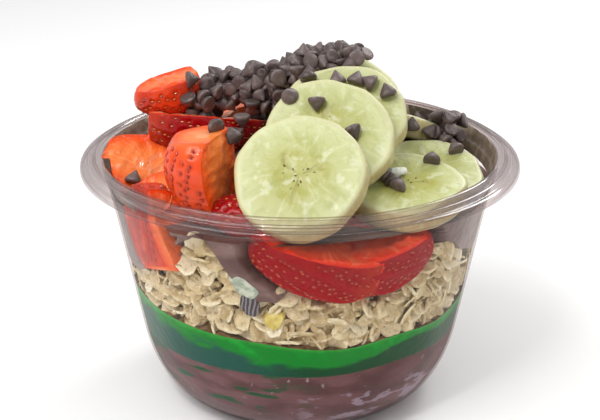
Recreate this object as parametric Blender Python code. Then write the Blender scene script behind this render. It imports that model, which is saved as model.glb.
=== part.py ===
"""An acai bowl: a clear 24 oz plastic tub filled in layers and heaped with fruit.

The frame is the tub's own: metres, +Z up, the origin on the floor at the middle of the tub's foot,
and -Y towards the person who eats from it. From the bottom up the tub holds a frozen acai blend, a green
spirulina blend, granola and a scoop of acai, and on the scoop lie cut strawberries, banana slices and
small chocolate chips.
"""

import math

import bmesh
import bpy
from mathutils import Matrix, Vector, noise

MM = 0.001

# The tub, in millimetres.
RIM_R = 69.0
RIM_Z = 78.5
SKIRT = 2.3
BEAD_R = 62.6
BEAD_Z = 81.0
LEDGE_Z = 75.2
WALL_TOP_R = 60.2
WALL_LOW_R = 50.6
WALL_LOW_Z = 25.0
FOOT_R = 30.0
FOOT_WIDTH = 3.2
RECESS = 1.4
SHEET = 0.8

# The filling, in millimetres: where each layer ends, and the gap between neighbours.
GAP = 0.4
WALL_GAP = 0.6
ACAI_TOP_Z = 25.6
GREEN_TOP_Z = 36.0
GRANOLA_TOP_Z = 49.5
SIDE_RISE = 4.0
SCOOP_EDGE_Z = 70.5
SCOOP_RISE = 20.0

# The fruit, in millimetres.
BANANA_THICK = 7.2
STEM_CUT = 0.84
ROOM = 0.65
CHIP = (0.045, 0.03, 0.027)

SEGMENTS = 36
SLICE_SEGMENTS = 18
BERRY_SEGMENTS = 12
BERRY_ROWS = 7
LAYER_RINGS = 4
BELLY_STEPS = 4


def start_clean():
    for obj in list(bpy.data.objects):
        bpy.data.objects.remove(obj, do_unlink=True)


def material(name, colour, roughness, alpha=1.0):
    """A plain Principled finish, made once for each name."""
    made = bpy.data.materials.get(name)
    if made is None:
        made = bpy.data.materials.new(name)
        made.use_nodes = True
        shader = made.node_tree.nodes["Principled BSDF"]
        shader.inputs["Base Color"].default_value = (*colour, 1.0)
        shader.inputs["Roughness"].default_value = roughness
        shader.inputs["Metallic"].default_value = 0.0
        shader.inputs["Alpha"].default_value = alpha
    return made


def add_object(name, mesh, finish):
    obj = bpy.data.objects.new(name, mesh)
    bpy.context.scene.collection.objects.link(obj)
    if finish is not None:
        mesh.materials.append(finish)
    return obj


def mesh_of(name, bm):
    """The mesh of a bmesh in millimetres, in metres and with its faces pointing out."""
    bmesh.ops.recalc_face_normals(bm, faces=bm.faces)
    bmesh.ops.scale(bm, vec=(MM, MM, MM), verts=bm.verts)
    mesh = bpy.data.meshes.new(name)
    bm.to_mesh(mesh)
    bm.free()
    return mesh


# ---------------------------------------------------------------------------------------------------------
# The tub: one thin sheet of clear plastic, turned about Z
# ---------------------------------------------------------------------------------------------------------


def bezier(start, first, second, end, steps):
    """Points of a cubic curve, the start left out."""
    points = []
    for i in range(1, steps + 1):
        t = i / steps
        a, b, c, d = (1 - t) ** 3, 3 * t * (1 - t) ** 2, 3 * t * t * (1 - t), t**3
        points.append(tuple(a * p + b * q + c * r + d * s for p, q, r, s in zip(start, first, second, end)))
    return points


def sheet_line():
    """The middle of the plastic sheet from the centre of the floor to the edge of the skirt, as (r, z)."""
    half = SHEET / 2
    foot_end = (FOOT_R, half)
    wall_start = (WALL_LOW_R + half, WALL_LOW_Z)
    slope = Vector((WALL_TOP_R - WALL_LOW_R, LEDGE_Z - WALL_LOW_Z)).normalized()
    reach = 13.0
    belly = bezier(
        foot_end,
        (FOOT_R + reach, half),
        (wall_start[0] - slope.x * reach, wall_start[1] - slope.y * reach),
        wall_start,
        BELLY_STEPS,
    )
    return [
        (0.0, RECESS + half),
        (FOOT_R - FOOT_WIDTH - 1.8, RECESS + half),
        (FOOT_R - FOOT_WIDTH, half),
        foot_end,
        *belly,
        (WALL_TOP_R + half, LEDGE_Z - half),
        (BEAD_R - 1.0, LEDGE_Z),
        (BEAD_R - 0.8, BEAD_Z - 1.3),
        (BEAD_R, BEAD_Z - half),
        (BEAD_R + 1.2, BEAD_Z - half),
        (BEAD_R + 2.2, BEAD_Z - 1.5),
        (RIM_R - 1.2, RIM_Z - half),
        (RIM_R - half, RIM_Z - 1.1),
        (RIM_R - half, RIM_Z - SKIRT),
    ]


def thickened(line, width):
    """A closed outline of that width round an open line, its first point kept on the axis."""
    near, far = [], []
    for i, point in enumerate(line):
        here = Vector(point)
        before = (here - Vector(line[i - 1])).normalized() if i else None
        after = (Vector(line[i + 1]) - here).normalized() if i + 1 < len(line) else None
        along = ((before or after) + (after or before)).normalized()
        side = Vector((-along.y, along.x))
        if before and after:
            side *= 1.0 / max(0.7, side.dot(Vector((-after.y, after.x))))
        if i == 0:
            side = Vector((0.0, 1.0))
        near.append(here + side * width / 2)
        far.append(here - side * width / 2)
    return near, far


def ring(bm, radius, height):
    return [
        bm.verts.new((radius * math.cos(a), radius * math.sin(a), height))
        for a in (2 * math.pi * i / SEGMENTS for i in range(SEGMENTS))
    ]


def join_rings(bm, low, high):
    count = len(low)
    for i in range(count):
        after = (i + 1) % count
        bm.faces.new((low[i], low[after], high[after]))
        bm.faces.new((low[i], high[after], high[i]))


def close_ring(bm, loop, pole):
    count = len(loop)
    for i in range(count):
        bm.faces.new((loop[i], loop[(i + 1) % count], pole))


def build_tub():
    inner, outer = thickened(sheet_line(), SHEET)
    bm = bmesh.new()
    bottom = bm.verts.new((0, 0, outer[0].y))
    top = bm.verts.new((0, 0, inner[0].y))
    loops = [ring(bm, p.x, p.y) for p in outer[1:]] + [ring(bm, p.x, p.y) for p in reversed(inner[1:])]
    close_ring(bm, loops[0], bottom)
    for low, high in zip(loops, loops[1:]):
        join_rings(bm, low, high)
    close_ring(bm, loops[-1], top)
    finish = material("clear_plastic", (0.78, 0.76, 0.75), 0.08, 0.3)
    return add_object("bowl", mesh_of("bowl", bm), finish)


def inside_line():
    """The tub's inside from the floor's centre to the ledge, as (r, z), a gap clear of the plastic."""
    inner, _ = thickened(sheet_line(), SHEET + 2 * GAP)
    return [p for p in inner if p.y < LEDGE_Z]


def inside_radius(height):
    line = [p for p in inside_line() if p.x > FOOT_R - 1]
    for low, high in zip(line, line[1:]):
        if low.y <= height <= high.y:
            return low.x + (high.x - low.x) * (height - low.y) / (high.y - low.y)
    return line[-1].x + (height - line[-1].y) * (WALL_TOP_R - WALL_LOW_R) / (LEDGE_Z - WALL_LOW_Z)


# ---------------------------------------------------------------------------------------------------------
# The layers: bodies of rings between a lower and an upper surface
# ---------------------------------------------------------------------------------------------------------


def acai_surface(x, y):
    """Where the acai blend meets the green blend: a little uneven, and higher to the right."""
    return ACAI_TOP_Z + 0.02 * x + 1.3 * noise.noise(Vector((x, y, 3.0)) / 34)


def side_rise(x, y):
    """How much higher the green blend and the granola stand at the left and right of the wall."""
    out = math.hypot(x, y)
    return SIDE_RISE * (abs(x) / out) ** 3 * min(1.0, out / 56) if out > 0.1 else 0.0


def green_surface(x, y):
    """Where the green blend meets the granola."""
    return GREEN_TOP_Z + side_rise(x, y) - 0.035 * x + 1.6 * noise.noise(Vector((x, y, 9.0)) / 24)


def hump(angle, middle, width):
    """1 at an angle round the tub, falling to 0 beside it, in degrees."""
    off = (angle - middle + 180) % 360 - 180
    return math.exp(-((off / width) ** 2))


def granola_surface(x, y):
    """The granola's top: piled up the wall in four places, lower in the middle, and lumpy."""
    angle = math.degrees(math.atan2(y, x))
    out = min(1.0, math.hypot(x, y) / 56)
    piles = 21.0 * hump(angle, -118, 10) + 3.0 * hump(angle, -98, 8) + 12.0 * hump(angle, -44, 14)
    piles += 6.0 * hump(angle, 35, 22) + 10.0 * hump(angle, 110, 26) - 5.0 * hump(angle, -165, 22)
    lumps = 1.6 * noise.noise(Vector((x, y, 20.0)) / 7)
    piles = piles * max(0.0, out - 0.45) / 0.55
    return GRANOLA_TOP_Z + side_rise(x, y) + piles + 2.5 * (out - 1) + lumps


def scoop_surface(x, y):
    """The top of the acai scoop: level near the wall and domed in the middle, a little behind centre."""
    away = math.hypot(x - 4, y - 6) / 48
    dome = math.cos(min(1.0, away) * math.pi) * 0.5 + 0.5
    return SCOOP_EDGE_Z + SCOOP_RISE * dome + 0.9 * noise.noise(Vector((x, y, 30.0)) / 16)


def surface_rings(bm, height, shift):
    """Rings of a surface from the middle out, the last one against the wall."""
    loops = []
    for k in range(1, LAYER_RINGS + 1):
        loop = []
        for i in range(SEGMENTS):
            angle = 2 * math.pi * i / SEGMENTS
            out = Vector((math.cos(angle), math.sin(angle)))
            reach = inside_radius(height(*(out * 55)) + shift)
            reach = inside_radius(height(*(out * reach)) + shift) * k / LAYER_RINGS
            loop.append(bm.verts.new((out.x * reach, out.y * reach, height(*(out * reach)) + shift)))
        loops.append(loop)
    return loops


def build_layer(name, lower, upper, finish):
    """A filling between two surfaces; with no lower surface it fills the tub's own floor."""
    bm = bmesh.new()
    if lower is None:
        line = inside_line()
        low = [ring(bm, p.x, p.y) for p in line[1:] if p.y < ACAI_TOP_Z - 2.5]
        low_pole = bm.verts.new((0, 0, line[0].y))
    else:
        low = surface_rings(bm, lower, GAP / 2)
        low_pole = bm.verts.new((0, 0, lower(0, 0) + GAP / 2))
    high = surface_rings(bm, upper, -GAP / 2)
    high_pole = bm.verts.new((0, 0, upper(0, 0) - GAP / 2))
    close_ring(bm, low[0], low_pole)
    for a, b in zip(low, low[1:]):
        join_rings(bm, a, b)
    join_rings(bm, low[-1], high[-1])
    for a, b in zip(high, high[1:]):
        join_rings(bm, a, b)
    close_ring(bm, high[0], high_pole)
    return add_object(name, mesh_of(name, bm), finish)


# ---------------------------------------------------------------------------------------------------------
# The fruit
# ---------------------------------------------------------------------------------------------------------


def compass(azimuth, elevation):
    """The direction at an angle round Z from +X and a height above level, in degrees."""
    turn, rise = math.radians(azimuth), math.radians(elevation)
    return Vector((math.cos(turn) * math.cos(rise), math.sin(turn) * math.cos(rise), math.sin(rise)))


def facing(direction, across):
    """The turn that points a piece's +Z along a direction and its +X as near another as it goes."""
    up = direction.normalized()
    side = up.cross(across).normalized()
    return Matrix((side.cross(up), side, up)).transposed()


def room(height):
    """How far from the axis fruit may reach at a height: to the tub's wall, its throat, or anywhere above."""
    if height > BEAD_Z + GAP:
        return math.inf
    wide = inside_radius(height) if height < LEDGE_Z - 2 * GAP else WALL_TOP_R
    return wide - WALL_GAP


def place_fruit(name, bm, turn, place, finish):
    """Turns and places a piece, and presses what would pass through the tub's wall flat against it."""
    bmesh.ops.transform(bm, matrix=turn.to_4x4(), verts=bm.verts)
    for vert in bm.verts:
        x, y, z = vert.co + Vector(place)
        reach = math.hypot(x, y)
        squeeze = min(1.0, room(z) / max(reach, 1.0))
        vert.co = Vector((x * squeeze, y * squeeze, z)) - Vector(place)
    obj = add_object(name, mesh_of(name, bm), finish)
    obj.location = Vector(place) * MM
    return obj


def build_slice(name, place, face, spin, across, oval):
    """A banana slice: a disc with a softly three-sided outline and worn edges, its face to a direction."""
    bm = bmesh.new()
    half, edge = BANANA_THICK / 2, 1.4
    loops = []
    for inset, height in ((edge, -half), (0.0, edge - half), (0.0, half - edge), (edge, half)):
        loop = []
        for i in range(SLICE_SEGMENTS):
            angle = 2 * math.pi * i / SLICE_SEGMENTS
            reach = across / 2 * (1 + 0.02 * math.cos(3 * angle) + 0.012 * math.cos(5 * angle + 1)) - inset
            loop.append(bm.verts.new((reach * math.cos(angle), reach * math.sin(angle) * oval, height)))
        loops.append(loop)
    for low, high in zip(loops, loops[1:]):
        join_rings(bm, low, high)
    bm.faces.new(loops[0])
    bm.faces.new(loops[-1])
    turn = facing(compass(*face), compass(spin, 0.0))
    return place_fruit(name, bm, turn, place, material("banana", (0.85, 0.82, 0.5), 0.45))


def berry_radius(share, wide):
    """A strawberry's radius at a share of its length from the stem: full shoulders and a blunt tip."""
    angle = math.pi * share
    return wide * math.sin(angle) ** 0.82 * (1 + 0.24 * math.cos(angle)) / 1.04


def build_berry(name, place, tip, face, kept, long, wide):
    """A cut strawberry: its tip and its cut face each point along a compass direction.

    The stem end is sliced off too, and kept is how much of the radius is left in front of the core.
    """
    bm = bmesh.new()
    loops = []
    for row in range(1, BERRY_ROWS):
        share = row / BERRY_ROWS
        radius = berry_radius(share, wide)
        height = long / 2 * math.cos(math.pi * share)
        loops.append(
            [
                bm.verts.new((radius * math.cos(a), radius * math.sin(a), height))
                for a in (2 * math.pi * i / BERRY_SEGMENTS for i in range(BERRY_SEGMENTS))
            ]
        )
    close_ring(bm, loops[0], bm.verts.new((0, 0, long / 2)))
    for low, high in zip(loops, loops[1:]):
        join_rings(bm, low, high)
    close_ring(bm, loops[-1], bm.verts.new((0, 0, -long / 2)))
    for normal, offset in ((Vector((1, 0, 0)), kept * wide), (Vector((0, 0, 1)), STEM_CUT * long / 2)):
        everything = bm.verts[:] + bm.edges[:] + bm.faces[:]
        bmesh.ops.bisect_plane(
            bm, geom=everything, dist=1e-4, plane_co=normal * offset, plane_no=normal, clear_outer=True
        )
        bmesh.ops.holes_fill(bm, edges=[e for e in bm.edges if e.is_boundary])
    turn = facing(-compass(*tip), compass(*face))
    return place_fruit(name, bm, turn, place, material("strawberry", (0.75, 0.09, 0.05), 0.35))


# ---------------------------------------------------------------------------------------------------------
# The chocolate chips: heaps built of balls, and what makes room for the fruit in a soft body
# ---------------------------------------------------------------------------------------------------------


def build_heap(name, balls):
    """A heap of chips out to its uneven outline: overlapping rough balls joined into one body."""
    made = []
    for i, (place, radius) in enumerate(balls):
        bm = bmesh.new()
        bmesh.ops.create_icosphere(bm, subdivisions=2, radius=radius)
        for vert in bm.verts:
            vert.co *= 1 + 0.12 * noise.noise(vert.co / 4.3 + Vector((i * 7.3, 0.4, 0.7)))
        bmesh.ops.translate(bm, vec=place, verts=bm.verts)
        made.append(add_object(f"{name}_{i}", mesh_of(f"{name}_{i}", bm), material("chocolate", CHIP, 0.5)))
    whole = made[0]
    whole.name = name
    combine(whole, made[1:], "UNION")
    return whole


def combine(obj, others, operation):
    """Joins other objects to one, or cuts them from it, and deletes them; the largest piece stays.

    The exact solver returns nothing for some of these lumpy bodies, so this takes the manifold one.
    """
    for other in others:
        step = obj.modifiers.new(other.name, "BOOLEAN")
        step.operation = operation
        step.solver = "MANIFOLD"
        step.object = other
        bpy.context.view_layer.update()
        graph = bpy.context.evaluated_depsgraph_get()
        mesh = bpy.data.meshes.new_from_object(obj.evaluated_get(graph))
        obj.modifiers.clear()
        obj.data = mesh
        keep_largest(mesh)
        bpy.data.objects.remove(other, do_unlink=True)


def keep_largest(mesh):
    """Deletes every loose piece of a mesh but the one with the most surface."""
    bm = bmesh.new()
    bm.from_mesh(mesh)
    pieces = []
    left = set(bm.verts)
    while left:
        piece = {left.pop()}
        edge_of_piece = list(piece)
        while edge_of_piece:
            around = {v for e in edge_of_piece.pop().link_edges for v in e.verts} - piece
            piece |= around
            edge_of_piece.extend(around)
        left -= piece
        pieces.append(piece)
    pieces.sort(key=lambda piece: sum(f.calc_area() for v in piece for f in v.link_faces))
    for piece in pieces[:-1]:
        bmesh.ops.delete(bm, geom=list(piece), context="VERTS")
    bm.to_mesh(mesh)
    bm.free()


def swollen(obj, outward=0.0):
    """A copy of an object with every face moved out by the gap, and the whole moved towards the wall."""
    bm = bmesh.new()
    bm.from_mesh(obj.data)
    bm.normal_update()
    moves = [(vert, vert.normal * vert.calc_shell_factor() * ROOM * MM) for vert in bm.verts]
    for vert, move in moves:
        vert.co += move
    mesh = bpy.data.meshes.new(obj.name + "_room")
    bm.to_mesh(mesh)
    bm.free()
    copy = add_object(mesh.name, mesh, None)
    copy.location = obj.location + Vector((obj.location.x, obj.location.y, 0)).normalized() * outward * MM
    copy.hide_render = True
    copy.display_type = "WIRE"
    return copy


def merge_flat(obj):
    """Joins the triangles that lie flat beside each other, of which the cuts leave many."""
    bm = bmesh.new()
    bm.from_mesh(obj.data)
    bmesh.ops.dissolve_limit(bm, angle_limit=math.radians(1.5), verts=bm.verts, edges=bm.edges)
    bmesh.ops.triangulate(bm, faces=bm.faces)
    bm.to_mesh(obj.data)
    bm.free()


def make_room(obj, neighbours):
    """Cuts the neighbours' shapes from a body, and what would stand between one at the wall and the wall."""
    for neighbour in neighbours:
        steps = (0.0, 6.0) if neighbour.name in AT_THE_WALL else (0.0,)
        combine(obj, [swollen(neighbour, outward) for outward in steps], "DIFFERENCE")


# name: place, face (azimuth, elevation), azimuth of the long way, across, oval
SLICES = {
    "banana_1": ((0.2, -46.0, 86.2), (-102, 41), 20, 38.0, 0.97),
    "banana_2": ((8.6, -30.0, 93.2), (-99, 43), -25, 38.0, 0.93),
    "banana_3": ((13.2, -18.2, 94.8), (-96, 45), 10, 37.4, 0.95),
    "banana_4": ((13.0, -6.6, 94.8), (-94, 46), 40, 35.4, 0.96),
    "banana_5": ((31.0, -32.2, 77.2), (-90, 77), 0, 35.2, 0.96),
    "banana_6": ((39.6, -9.0, 73.4), (-86, 77), 75, 35.5, 0.96),
    "banana_7": ((34.0, 26.0, 78.5), (50, 64), 130, 34.0, 0.96),
    "banana_8": ((1.0, 36.5, 80.5), (92, 50), 15, 36.0, 0.94),
}

# name: place, tip, face (azimuth, elevation), kept, length, radius
BERRIES = {
    "strawberry_1": ((-41.5, 9.0, 96.2), (200, -15), (20, 68), 0.7, 23.5, 8.6),
    "strawberry_2": ((-46.0, -17.0, 84.0), (165, 18), (-75, 47), -0.25, 34.0, 13.0),
    "strawberry_3": ((-26.5, -38.0, 84.0), (0, -85), (-22, 5), 0.35, 29.0, 11.5),
    "strawberry_4": ((-30.5, 1.0, 89.0), (6, -6), (90, 75), 0.1, 40.0, 12.0),
    "strawberry_5": ((1.5, -49.0, 65.8), (178, 20), (-90, 64), 0.15, 38.0, 12.5),
    "strawberry_6": ((-41.0, -38.0, 67.0), (-90, -72), (-62, 12), 0.35, 27.0, 13.0),
    "strawberry_7": ((26.0, -44.0, 64.8), (24, 5), (-75, 62), 0.15, 24.0, 12.0),
    "strawberry_8": ((-18.5, -45.0, 74.0), (180, 5), (90, -60), 0.0, 18.0, 7.0),
    "strawberry_9": ((-42.5, -33.0, 76.5), (150, -10), (-60, 35), 0.2, 18.0, 7.5),
    "strawberry_10": ((-28.0, 28.0, 82.0), (120, -20), (150, 50), 0.0, 32.0, 13.0),
}
AT_THE_WALL = ("strawberry_5", "strawberry_6", "strawberry_7")

# name: the balls of each heap, as place and radius
HEAPS = {
    "chips_heap": (
        ((-33.0, 9.0, 94.5), 6.5),
        ((-24.0, 10.0, 95.5), 8.0),
        ((-13.0, 9.0, 96.5), 9.5),
        ((-4.0, 6.0, 99.0), 9.5),
        ((2.0, 2.0, 105.5), 8.5),
        ((12.0, 3.0, 105.5), 8.5),
        ((4.0, 12.0, 97.0), 10.0),
        ((15.0, 12.0, 92.0), 8.0),
    ),
    "chips_back": (
        ((38.0, 21.0, 80.5), 6.0),
        ((44.0, 17.0, 80.0), 5.5),
        ((49.0, 11.0, 78.0), 4.5),
    ),
}


def main():
    start_clean()
    build_tub()
    acai = material("acai", (0.16, 0.07, 0.08), 0.5)
    build_layer("acai_base", None, acai_surface, acai)
    build_layer("green_layer", acai_surface, green_surface, material("green", (0.02, 0.3, 0.08), 0.4))
    granola = build_layer("granola", green_surface, granola_surface, material("granola", (0.6, 0.48, 0.3), 0.8))
    scoop = build_layer("acai_scoop", granola_surface, scoop_surface, acai)
    fruit = []
    for name in (*SLICES, *BERRIES):
        piece = build_slice(name, *SLICES[name]) if name in SLICES else build_berry(name, *BERRIES[name])
        combine(piece, [swollen(other) for other in fruit], "DIFFERENCE")
        fruit.append(piece)
    make_room(granola, fruit)
    make_room(scoop, fruit)
    merge_flat(scoop)
    heaps = [build_heap(name, balls) for name, balls in HEAPS.items()]
    for heap in heaps:
        make_room(heap, [*fruit, scoop])
        merge_flat(heap)


main()
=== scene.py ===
"""The looks of an acai bowl: a clear tub filled in layers and heaped with fruit and chocolate chips.

Meshes are made in millimetres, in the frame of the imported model: +Z up, the origin on the floor at the
middle of the tub's foot, and -Y towards the person who eats. Each section makes one piece, or one kind of
piece, in the order in which the bowl is filled; what presses round the fruit comes after the fruit.
"""

import math

import bpy
import numpy as np
from mathutils import Matrix, Vector, noise
from mathutils.bvhtree import BVHTree


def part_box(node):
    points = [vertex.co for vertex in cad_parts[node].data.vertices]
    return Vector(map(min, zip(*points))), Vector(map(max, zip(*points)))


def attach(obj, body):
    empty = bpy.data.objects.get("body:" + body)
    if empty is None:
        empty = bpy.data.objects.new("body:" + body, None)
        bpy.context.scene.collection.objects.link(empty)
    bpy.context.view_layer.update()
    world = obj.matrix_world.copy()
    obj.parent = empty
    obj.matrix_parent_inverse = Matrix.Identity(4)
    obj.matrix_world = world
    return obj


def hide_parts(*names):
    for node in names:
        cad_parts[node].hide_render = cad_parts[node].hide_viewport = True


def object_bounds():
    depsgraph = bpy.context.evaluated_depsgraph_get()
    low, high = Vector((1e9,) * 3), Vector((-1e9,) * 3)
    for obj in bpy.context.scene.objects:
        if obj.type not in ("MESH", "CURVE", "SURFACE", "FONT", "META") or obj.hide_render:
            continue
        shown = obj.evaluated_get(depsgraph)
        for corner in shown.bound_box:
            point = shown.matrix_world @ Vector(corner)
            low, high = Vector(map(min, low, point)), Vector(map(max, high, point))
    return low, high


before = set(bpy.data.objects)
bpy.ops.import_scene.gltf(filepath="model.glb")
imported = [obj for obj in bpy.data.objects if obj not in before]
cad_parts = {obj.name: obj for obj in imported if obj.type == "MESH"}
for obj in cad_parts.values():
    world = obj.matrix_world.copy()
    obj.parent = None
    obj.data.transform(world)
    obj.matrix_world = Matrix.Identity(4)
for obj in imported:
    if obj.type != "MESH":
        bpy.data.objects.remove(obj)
cad_low, cad_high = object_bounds()

# ---- The tub ----
# A thin sheet of clear PET drawn into a mould: a ringed foot, a sloping wall with a stacking ledge under the
# mouth, a bead that the lid snaps over, and a wide flange with a short skirt.

MM = 0.001
AROUND = 192  # steps round the tub

RIM_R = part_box("bowl")[1].x / MM
TUB_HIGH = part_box("bowl")[1].z / MM
SHEET = 0.8
RIM_Z = TUB_HIGH - 2.5
SKIRT = 2.3
BEAD_R = RIM_R - 6.4
LEDGE_Z = TUB_HIGH - 5.8
WALL_TOP_R = RIM_R - 8.8
WALL_LOW_R = RIM_R - 18.4
WALL_LOW_Z = 25.0
FOOT_R = 30.0
FOOT_WIDTH = 3.2
RECESS = 1.4
BELLY_HANDLE = 13.0  # how far each end of the belly's curve is drawn out


class Shape:
    """Points in millimetres, the quads and triangles on them, a finish number and marks on the points."""

    def __init__(self, points, quads, tris, kind=0, **marks):
        self.points, self.quads, self.tris = points, quads, tris
        self.quad_kinds = np.full(len(quads), kind)
        self.tri_kinds = np.full(len(tris), kind)
        self.marks = {name: np.broadcast_to(mark, len(points)) for name, mark in marks.items()}


def joined(shapes):
    """Several shapes as one; a mark that one of them lacks is 0 on it."""
    starts = np.cumsum([0] + [len(shape.points) for shape in shapes[:-1]])
    whole = Shape(
        np.concatenate([shape.points for shape in shapes]),
        np.concatenate([shape.quads + start for shape, start in zip(shapes, starts)]),
        np.concatenate([shape.tris + start for shape, start in zip(shapes, starts)]),
    )
    whole.quad_kinds = np.concatenate([shape.quad_kinds for shape in shapes])
    whole.tri_kinds = np.concatenate([shape.tri_kinds for shape in shapes])
    for name in {name for shape in shapes for name in shape.marks}:
        parts = [shape.marks.get(name, np.zeros(len(shape.points))) for shape in shapes]
        whole.marks[name] = np.concatenate(parts)
    return whole


def wrap(rings, **marks):
    """The closed skin over rings of points, given from the lowest ring up and anticlockwise from above."""
    count, around = rings.shape[:2]
    index = np.arange(count * around).reshape(count, around)
    after = np.roll(index, -1, axis=1)
    sides = np.stack([index[:-1], after[:-1], after[1:], index[1:]], -1).reshape(-1, 4)
    low = np.full(around, count * around)
    ends = np.concatenate(
        [np.stack([after[0], index[0], low], -1), np.stack([index[-1], after[-1], low + 1], -1)]
    )
    poles = np.stack([rings[0].mean(0), rings[-1].mean(0)])
    for name, mark in marks.items():
        marks[name] = np.concatenate([mark.ravel(), [mark[0].mean(), mark[-1].mean()]])
    return Shape(np.concatenate([rings.reshape(-1, 3), poles]), sides, ends, **marks)


def add_piece(name, shape, finishes, stands_for=(), sharp=45.0, place=None):
    """Puts a shape into the scene as a piece that rides with the tub."""
    mesh = bpy.data.meshes.new(name)
    corners = np.concatenate([shape.quads.ravel(), shape.tris.ravel()])
    sizes = np.repeat([4, 3], [len(shape.quads), len(shape.tris)])
    mesh.vertices.add(len(shape.points))
    mesh.vertices.foreach_set("co", (shape.points * MM).astype(np.float32).ravel())
    mesh.loops.add(len(corners))
    mesh.loops.foreach_set("vertex_index", corners.astype(np.int32))
    mesh.polygons.add(len(sizes))
    mesh.polygons.foreach_set("loop_start", (np.cumsum(sizes) - sizes).astype(np.int32))
    for mark, values in shape.marks.items():
        mesh.attributes.new(mark, "FLOAT", "POINT").data.foreach_set("value", values.astype(np.float32))
    for finish in finishes:
        mesh.materials.append(finish)
    kinds = np.concatenate([shape.quad_kinds, shape.tri_kinds])
    mesh.polygons.foreach_set("material_index", kinds.astype(np.int32))
    mesh.update(calc_edges=True)
    mesh.shade_smooth()
    mesh.set_sharp_from_angle(angle=math.radians(sharp))
    obj = bpy.data.objects.new(name, mesh)
    bpy.context.scene.collection.objects.link(obj)
    if place is not None:
        obj.matrix_world = place
    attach(obj, "root")
    if stands_for:
        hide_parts(*stands_for)
    return obj


class Paint:
    """An output of a shader node. Sums and products of it, written as Python, add the nodes they need."""

    def __init__(self, tree, socket=None):
        self.tree, self.socket = tree, socket

    def node(self, kind, settings=None, sockets=None, output=0):
        """Adds a node: its settings first, then the values or links of its sockets."""
        made = self.tree.nodes.new("ShaderNode" + kind)
        for setting, value in (settings or {}).items():
            setattr(made, setting, value)
        for key, value in (sockets or {}).items():
            if isinstance(value, Paint):
                self.tree.links.new(value.socket, made.inputs[key])
            else:
                made.inputs[key].default_value = value
        return Paint(self.tree, made.outputs[output]) if made.outputs else made

    def worked(self, operation, first, second=0.0):
        """A Math node, or a Vector Math node where either value is a vector."""
        values = (first, second)
        vector = any(isinstance(v, Paint) and v.socket.type == "VECTOR" for v in values)
        if vector:
            values = [(v, v, v) if isinstance(v, (int, float)) else v for v in values]
        kind = "VectorMath" if vector else "Math"
        return self.node(kind, {"operation": operation}, dict(enumerate(values)))

    def __add__(self, other):
        return self.worked("ADD", self, other)

    __radd__ = __add__

    def __sub__(self, other):
        return self.worked("SUBTRACT", self, other)

    def __rsub__(self, other):
        return self.worked("SUBTRACT", other, self)

    def __mul__(self, other):
        return self.worked("MULTIPLY", self, other)

    __rmul__ = __mul__

    def band(self, low, high):
        """0 below low and 1 above high, with a soft step between them."""
        limits = {"Value": self, "From Min": low, "From Max": high}
        return self.node("MapRange", {"interpolation_type": "SMOOTHSTEP"}, limits)

    def mix(self, low, high):
        """A colour that goes from one to another as this goes from 0 to 1."""
        return self.node("Mix", {"data_type": "RGBA"}, {0: self, 6: low, 7: high}, output=2)

    def cloud(self, size, detail=2.0, shift=0.0, rough=0.5):
        """Noise with lumps of a size in millimetres, at this place."""
        place = self + (shift, shift * 0.7, -shift) if shift else self
        sockets = {"Vector": place, "Scale": 1.0 / size, "Detail": detail, "Roughness": rough}
        return self.node("TexNoise", None, sockets)

    def mark(self, name):
        """A number that the piece's points carry."""
        return self.node("Attribute", {"attribute_name": name}, output="Fac")

    def axis(self, name):
        """X, Y or Z of this place."""
        return self.node("SeparateXYZ", None, {0: self}, output=name)

    def outward(self, sides):
        """The direction from the piece's middle to this place, along the sides given as 1."""
        return self.worked("NORMALIZE", self * sides)


def rgb(red, green, blue):
    """A colour given as screen values from 0 to 255, as the shader takes it."""
    return (*(((v / 255 + 0.055) / 1.055) ** 2.4 if v > 10 else v / 3295 for v in (red, green, blue)), 1.0)


def start_finish(name):
    """A new material, and the place on its piece in millimetres, from which its pattern is worked out."""
    made = bpy.data.materials.new(name)
    made.use_nodes = True
    made.node_tree.nodes.clear()
    return made, Paint(made.node_tree).node("TexCoord", output="Object") * 1000.0


def end_finish(place, colour, rough, height=None, relief=0.3, more=None):
    """Adds the shader, its normal bent by a height from 0 to 1 that stands for a relief in millimetres."""
    sockets = {"Base Color": colour, "Roughness": rough, **(more or {})}
    if height is not None:
        bump = {"Height": height, "Distance": relief * MM, "Strength": 1.0}
        sockets["Normal"] = place.node("Bump", None, bump)
    shader = place.node("BsdfPrincipled", None, sockets)
    place.node("OutputMaterial", None, {"Surface": shader})


def speckled(name, patches, step, dark, pale, rough, bumps, relief):
    """A finish of two colours in soft patches, over a bumpy surface."""
    made, place = start_finish(name)
    colour = place.cloud(*patches).band(*step).mix(rgb(*dark), rgb(*pale))
    end_finish(place, colour, rough, place.cloud(*bumps), relief)
    return made


def rounded(line, times=2):
    """Cuts the corners of an open line and keeps its ends."""
    for _ in range(times):
        cut = np.stack([line[:-1] * 0.75 + line[1:] * 0.25, line[:-1] * 0.25 + line[1:] * 0.75], 1)
        line = np.concatenate([line[:1], cut.reshape(-1, 2), line[-1:]])
    return line


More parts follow.
